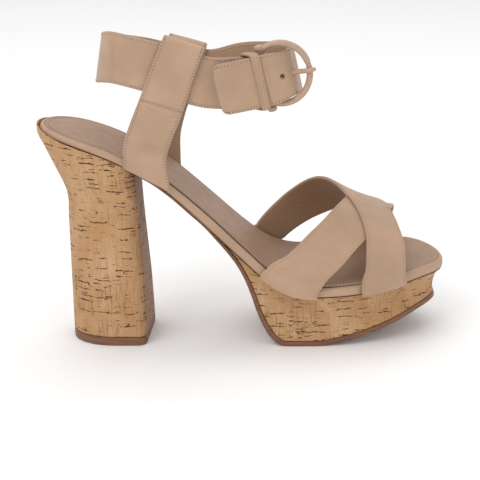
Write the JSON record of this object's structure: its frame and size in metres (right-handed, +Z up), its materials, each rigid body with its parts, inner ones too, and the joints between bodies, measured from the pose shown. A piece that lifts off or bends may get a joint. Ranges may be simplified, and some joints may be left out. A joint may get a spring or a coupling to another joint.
{
  "type": "platform sandal",
  "caption": "High-heeled platform sandal for the right foot, with crossed front straps, a buckled ankle strap held in side loops, and a cork-covered block heel and platform",
  "frame": {"origin": "centre of the heel's ground face", "axes": "+X to the toe, +Y to the inner (medial) side of the foot, +Z up"},
  "size_m": [0.2239, 0.1023, 0.1736],
  "materials": {
    "leather": "smooth matt taupe leather",
    "lining": "smooth lining leather, a little darker",
    "cork": "sheet cork with dark flecks",
    "sole_edge": "brown sole rubber",
    "enamel": "leather-coloured enamel on metal"
  },
  "bodies": {
    "root": {"heel_top_lift": "sole_edge", "heel_block": "cork", "outsole": "sole_edge", "platform": "cork", "footbed": "leather", "insole_sock": "lining", "front_straps": "leather", "side_strap_lateral": "leather", "side_strap_medial": "leather", "ankle_strap": "leather", "strap_keeper": "leather", "buckle_frame": "enamel", "buckle_prong": "enamel"}
  },
  "joints": []
}
